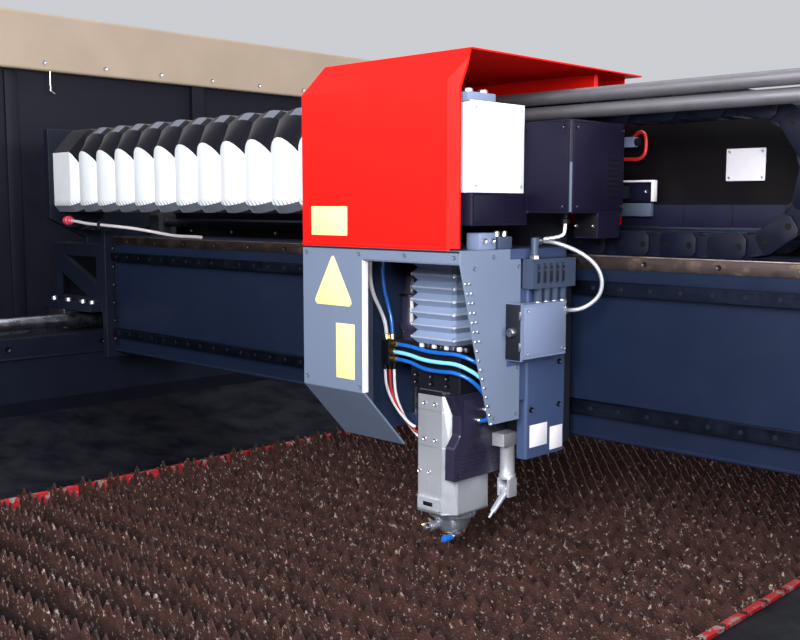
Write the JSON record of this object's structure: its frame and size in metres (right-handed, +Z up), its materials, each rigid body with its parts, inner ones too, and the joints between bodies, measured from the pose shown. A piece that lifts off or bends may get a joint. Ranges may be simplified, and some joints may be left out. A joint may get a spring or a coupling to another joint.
{
  "type": "fiber laser cutting machine",
  "caption": "Flat-bed laser cutter: slatted table between side frames, gantry on long rails, hooded carriage with a vertical slide and nozzle head, slag drawers below.",
  "frame": {"origin": "on the floor, below the middle of the machine's outer box", "axes": "+X along the gantry's beam to the right, +Y along the long rails, away from the front end, +Z up"},
  "size_m": [3.232, 4.2, 2.141],
  "materials": {
    "frame_navy": "satin",
    "beam_navy": "satin",
    "frame_dark": "satin",
    "comb_red": "worn satin",
    "slat_steel": "burnt and rusty",
    "apron_navy": "satin",
    "drawer_grey": "worn satin",
    "foot_steel": "machined",
    "rail_steel": "ground",
    "buffer_rubber": "matt",
    "bearing_steel": "machined",
    "motor_black": "satin",
    "screw_steel": "ground",
    "guard_navy": "satin",
    "guard_tan": "satin",
    "rod_chrome": "polished",
    "bellows_silver": "aluminised",
    "chain_black": "matt",
    "cover_black": "satin",
    "bracket_navy": "satin",
    "saddle_dark": "satin",
    "housing_blue": "satin",
    "hood_red": "gloss",
    "shell_grey": "satin",
    "panel_white": "satin",
    "box_black": "fine texture",
    "box_grey": "satin",
    "valve_grey": "moulded",
    "bellows_grey": "matt",
    "mount_black": "satin",
    "head_silver": "fine brushed",
    "drive_black": "gloss",
    "cartridge_metal": "machined",
    "ceramic_white": "glazed",
    "nozzle_copper": "polished",
    "spray_steel": "turned",
    "fibre_black": "gloss",
    "cable_armour": "ribbed",
    "tube_blue": "gloss"
  },
  "bodies": {
    "bed": {"left_side_frame": "frame_navy", "right_side_frame": "frame_navy", "end_cross_beams": "frame_dark", "table_frame": "frame_dark", "comb_rails": "comb_red", "slats": "slat_steel", "side_aprons": "apron_navy", "end_aprons": "apron_navy", "drawer_runners": "frame_dark", "levelling_feet": "foot_steel", "y_guide_rails": "rail_steel", "guide_rail_buffers": "buffer_rubber", "y_screw_bearings": "bearing_steel", "y_motors": "motor_black", "guard_panel": "guard_navy", "guard_top_rail": "guard_tan"},
    "front_drawer": {"front_slag_drawer": "drawer_grey"},
    "rear_drawer": {"rear_slag_drawer": "drawer_grey"},
    "left_long_screw": {"left_y_screw": "screw_steel"},
    "right_long_screw": {"right_y_screw": "screw_steel"},
    "gantry": {"gantry_beam": "beam_navy", "left_end_bracket": "bracket_navy", "right_end_bracket": "bracket_navy", "y_bearing_blocks": "bearing_steel", "y_screw_nuts": "bearing_steel", "x_guide_rails": "rail_steel", "guide_rods": "rod_chrome", "left_bellows": "bellows_silver", "x_chain": "chain_black", "gantry_rear_cover": "cover_black", "x_screw_bearings": "bearing_steel", "x_motor": "motor_black"},
    "beam_screw": {"x_screw": "screw_steel"},
    "carriage": {"carriage_saddle": "saddle_dark", "x_bearing_blocks": "bearing_steel", "z_housing": "housing_blue", "z_guide_rails": "rail_steel", "hood": "hood_red", "front_shell": "shell_grey", "white_side_panel": "panel_white", "control_box": "box_black", "junction_box": "box_grey", "valve_block": "valve_grey", "z_motor": "motor_black", "z_bellows": "bellows_grey", "loop_cable": "cable_armour", "supply_cables": "fibre_black"},
    "lift_screw": {"z_screw": "screw_steel"},
    "head_slide": {"z_plate": "mount_black", "z_bearing_blocks": "bearing_steel", "head_body": "head_silver", "drive_housing": "drive_black", "sensor_body": "head_silver", "ceramic_ring": "ceramic_white", "nozzle_tip": "nozzle_copper", "collimator": "head_silver", "spray_unit": "spray_steel", "head_cables": "tube_blue"},
    "cartridge": {"window_cartridge": "cartridge_metal"},
    "spray": {"spray_nozzle": "spray_steel"}
  },
  "joints": [
    {"name": "gantry_travel", "type": "slide", "parent": "bed", "child": "gantry", "axis": [0, 1, 0], "range_m": [-1.45, 1.45]},
    {"name": "left_long_screw_spin", "type": "hinge", "parent": "bed", "child": "left_long_screw", "pos_m": [-1.386, 0, 1.196], "axis": [0, 1, 0], "continuous": true},
    {"name": "right_long_screw_spin", "type": "hinge", "parent": "bed", "child": "right_long_screw", "pos_m": [1.386, 0, 1.196], "axis": [0, 1, 0], "continuous": true},
    {"name": "front_drawer_slide", "type": "slide", "parent": "bed", "child": "front_drawer", "axis": [0, -1, 0], "range_m": [0, 1.5]},
    {"name": "rear_drawer_slide", "type": "slide", "parent": "bed", "child": "rear_drawer", "axis": [0, 1, 0], "range_m": [0, 1.5]},
    {"name": "carriage_travel", "type": "slide", "parent": "gantry", "child": "carriage", "axis": [1, 0, 0], "range_m": [-1.02, 0.495], "deforming": ["left_bellows", "x_chain"]},
    {"name": "beam_screw_spin", "type": "hinge", "parent": "gantry", "child": "beam_screw", "pos_m": [0, 0.27, 1.495], "axis": [1, 0, 0], "continuous": true},
    {"name": "head_lift", "type": "slide", "parent": "carriage", "child": "head_slide", "axis": [0, 0, 1], "range_m": [-0.005, 0.11], "deforming": ["z_bellows", "supply_cables"]},
    {"name": "lift_screw_spin", "type": "hinge", "parent": "carriage", "child": "lift_screw", "pos_m": [0.125, 0.038, 1.3], "axis": [0, 0, 1], "continuous": true},
    {"name": "cartridge_slide", "type": "slide", "parent": "head_slide", "child": "cartridge", "axis": [0, -1, 0], "range_m": [0, 0.07]},
    {"name": "spray_tilt", "type": "hinge", "parent": "head_slide", "child": "spray", "pos_m": [0.352, 0.058, 0.995], "axis": [1, 0, 0], "range_deg": [-20, 20]}
  ],
  "couplings": [
    {"joint": "left_long_screw_spin", "follows": "gantry_travel", "rad_per_m": 157.08},
    {"joint": "right_long_screw_spin", "follows": "gantry_travel", "rad_per_m": 157.08},
    {"joint": "beam_screw_spin", "follows": "carriage_travel", "rad_per_m": 157.08},
    {"joint": "lift_screw_spin", "follows": "head_lift", "rad_per_m": 314.16}
  ]
}
